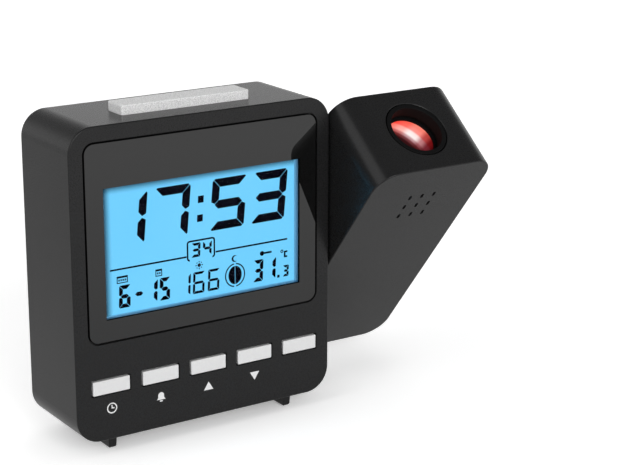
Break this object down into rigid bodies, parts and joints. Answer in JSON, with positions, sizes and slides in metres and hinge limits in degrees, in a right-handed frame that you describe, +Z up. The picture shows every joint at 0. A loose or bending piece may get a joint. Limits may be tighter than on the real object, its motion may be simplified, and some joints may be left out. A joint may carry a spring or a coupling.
{
  "type": "projection alarm clock",
  "caption": "Black desk clock with a lit display, silver keys and top bar, and a turning side arm that projects the time through a focusing lens.",
  "frame": {"origin": "on the surface under the feet, below the middle of the whole clock's box", "axes": "+X to the right as seen from the front, +Y to the back, +Z up"},
  "size_m": [0.1356, 0.085, 0.1044],
  "materials": {
    "case_plastic": "satin black moulded ABS",
    "window": "clear polished acrylic pane",
    "mask": "black print under the pane",
    "frame_grey": "blue-grey moulded plastic",
    "display_glass": "display glass",
    "polariser": "polarising film",
    "light_film": "acrylic guide and films",
    "lamp_white": "white lamp body",
    "rubber": "grey silicone rubber",
    "board": "green solder resist on glass laminate",
    "resin": "black potting resin",
    "black_plastic": "smooth black moulded plastic",
    "silver_paint": "silver paint on moulded plastic",
    "steel": "zinc-plated steel",
    "nickel": "nickel-plated spring steel",
    "cell_jacket": "plain printed film jacket",
    "acetal": "natural acetal",
    "wire_sheath": "insulated wires",
    "lens_glass": "polished acrylic lens",
    "red_lamp": "red tinted epoxy"
  },
  "bodies": {
    "case": {"front_case": "case_plastic", "rear_cover": "case_plastic", "foot_rails": "case_plastic", "display_window": "window", "window_mask": "mask", "lcd_frame": "frame_grey", "lcd_glass": "display_glass", "lcd_polarisers": "polariser", "diffuser": "light_film", "light_guide": "light_film", "reflector": "light_film", "backlight_lamps": "lamp_white", "contact_strip": "rubber", "key_mat": "rubber", "main_board": "board", "snooze_board": "board", "driver_chip": "resin", "temperature_sensor": "resin", "snooze_switch": "black_plastic", "power_inlet": "black_plastic", "board_screws": "steel", "case_screws": "steel", "bar_springs": "steel", "quartz_crystal": "steel", "contact_plates": "nickel", "contact_springs": "nickel", "battery_1": "cell_jacket", "battery_2": "cell_jacket", "pivot_bush": "acetal", "friction_washer": "acetal", "wire_socket": "acetal", "wire_bundle": "wire_sheath"},
    "arm": {"arm_shell": "case_plastic", "arm_cover": "case_plastic", "arm_screws": "steel", "buzzer": "black_plastic", "projector_housing": "black_plastic", "housing_screws": "steel", "projector_negative": "display_glass", "condenser_lens": "lens_glass", "red_lamp": "red_lamp", "lamp_board": "board", "lamp_wires": "wire_sheath", "pivot_shaft": "acetal", "spring_washer": "steel", "snap_ring": "steel", "shaft_screws": "steel"},
    "focus_ring": {"focus_ring": "black_plastic"},
    "lens": {"lens_carrier": "black_plastic", "projection_lens": "lens_glass"},
    "snooze_bar": {"snooze_bar": "silver_paint"},
    "battery_door": {"battery_door": "case_plastic"},
    "key_1": {"key_1": "silver_paint"},
    "key_2": {"key_2": "silver_paint"},
    "key_3": {"key_3": "silver_paint"},
    "key_4": {"key_4": "silver_paint"},
    "key_5": {"key_5": "silver_paint"}
  },
  "joints": [
    {"name": "arm_turn", "type": "hinge", "parent": "case", "child": "arm", "pos_m": [0.0225, 0, 0.05315], "axis": [1, 0, 0], "range_deg": [-129, 51]},
    {"name": "focus_turn", "type": "hinge", "parent": "arm", "child": "focus_ring", "pos_m": [0.0453, -0.03046, 0.09076], "axis": [0, -0.6293, 0.7771], "range_deg": [-136, 136]},
    {"name": "lens_travel", "type": "slide", "parent": "arm", "child": "lens", "axis": [0, -0.6293, 0.7771], "range_m": [-0.00097, 0.00097]},
    {"name": "snooze_press", "type": "slide", "parent": "case", "child": "snooze_bar", "axis": [0, 0, -1], "range_m": [0, 0.0008], "stiffness_N_per_m": 1200, "springref_m": -0.0006, "deforming": ["bar_springs"]},
    {"name": "battery_door_swing", "type": "hinge", "parent": "case", "child": "battery_door", "pos_m": [-0.0248, 0.0146, 0.0166], "axis": [-1, 0, 0], "range_deg": [0, 85]},
    {"name": "key_1_press", "type": "slide", "parent": "case", "child": "key_1", "axis": [0, 1, 0], "range_m": [0, 0.0006], "stiffness_N_per_m": 900},
    {"name": "key_2_press", "type": "slide", "parent": "case", "child": "key_2", "axis": [0, 1, 0], "range_m": [0, 0.0006], "stiffness_N_per_m": 900},
    {"name": "key_3_press", "type": "slide", "parent": "case", "child": "key_3", "axis": [0, 1, 0], "range_m": [0, 0.0006], "stiffness_N_per_m": 900},
    {"name": "key_4_press", "type": "slide", "parent": "case", "child": "key_4", "axis": [0, 1, 0], "range_m": [0, 0.0006], "stiffness_N_per_m": 900},
    {"name": "key_5_press", "type": "slide", "parent": "case", "child": "key_5", "axis": [0, 1, 0], "range_m": [0, 0.0006], "stiffness_N_per_m": 900}
  ],
  "couplings": [
    {"joint": "focus_turn", "follows": "lens_travel", "rad_per_m": 2416.6}
  ]
}
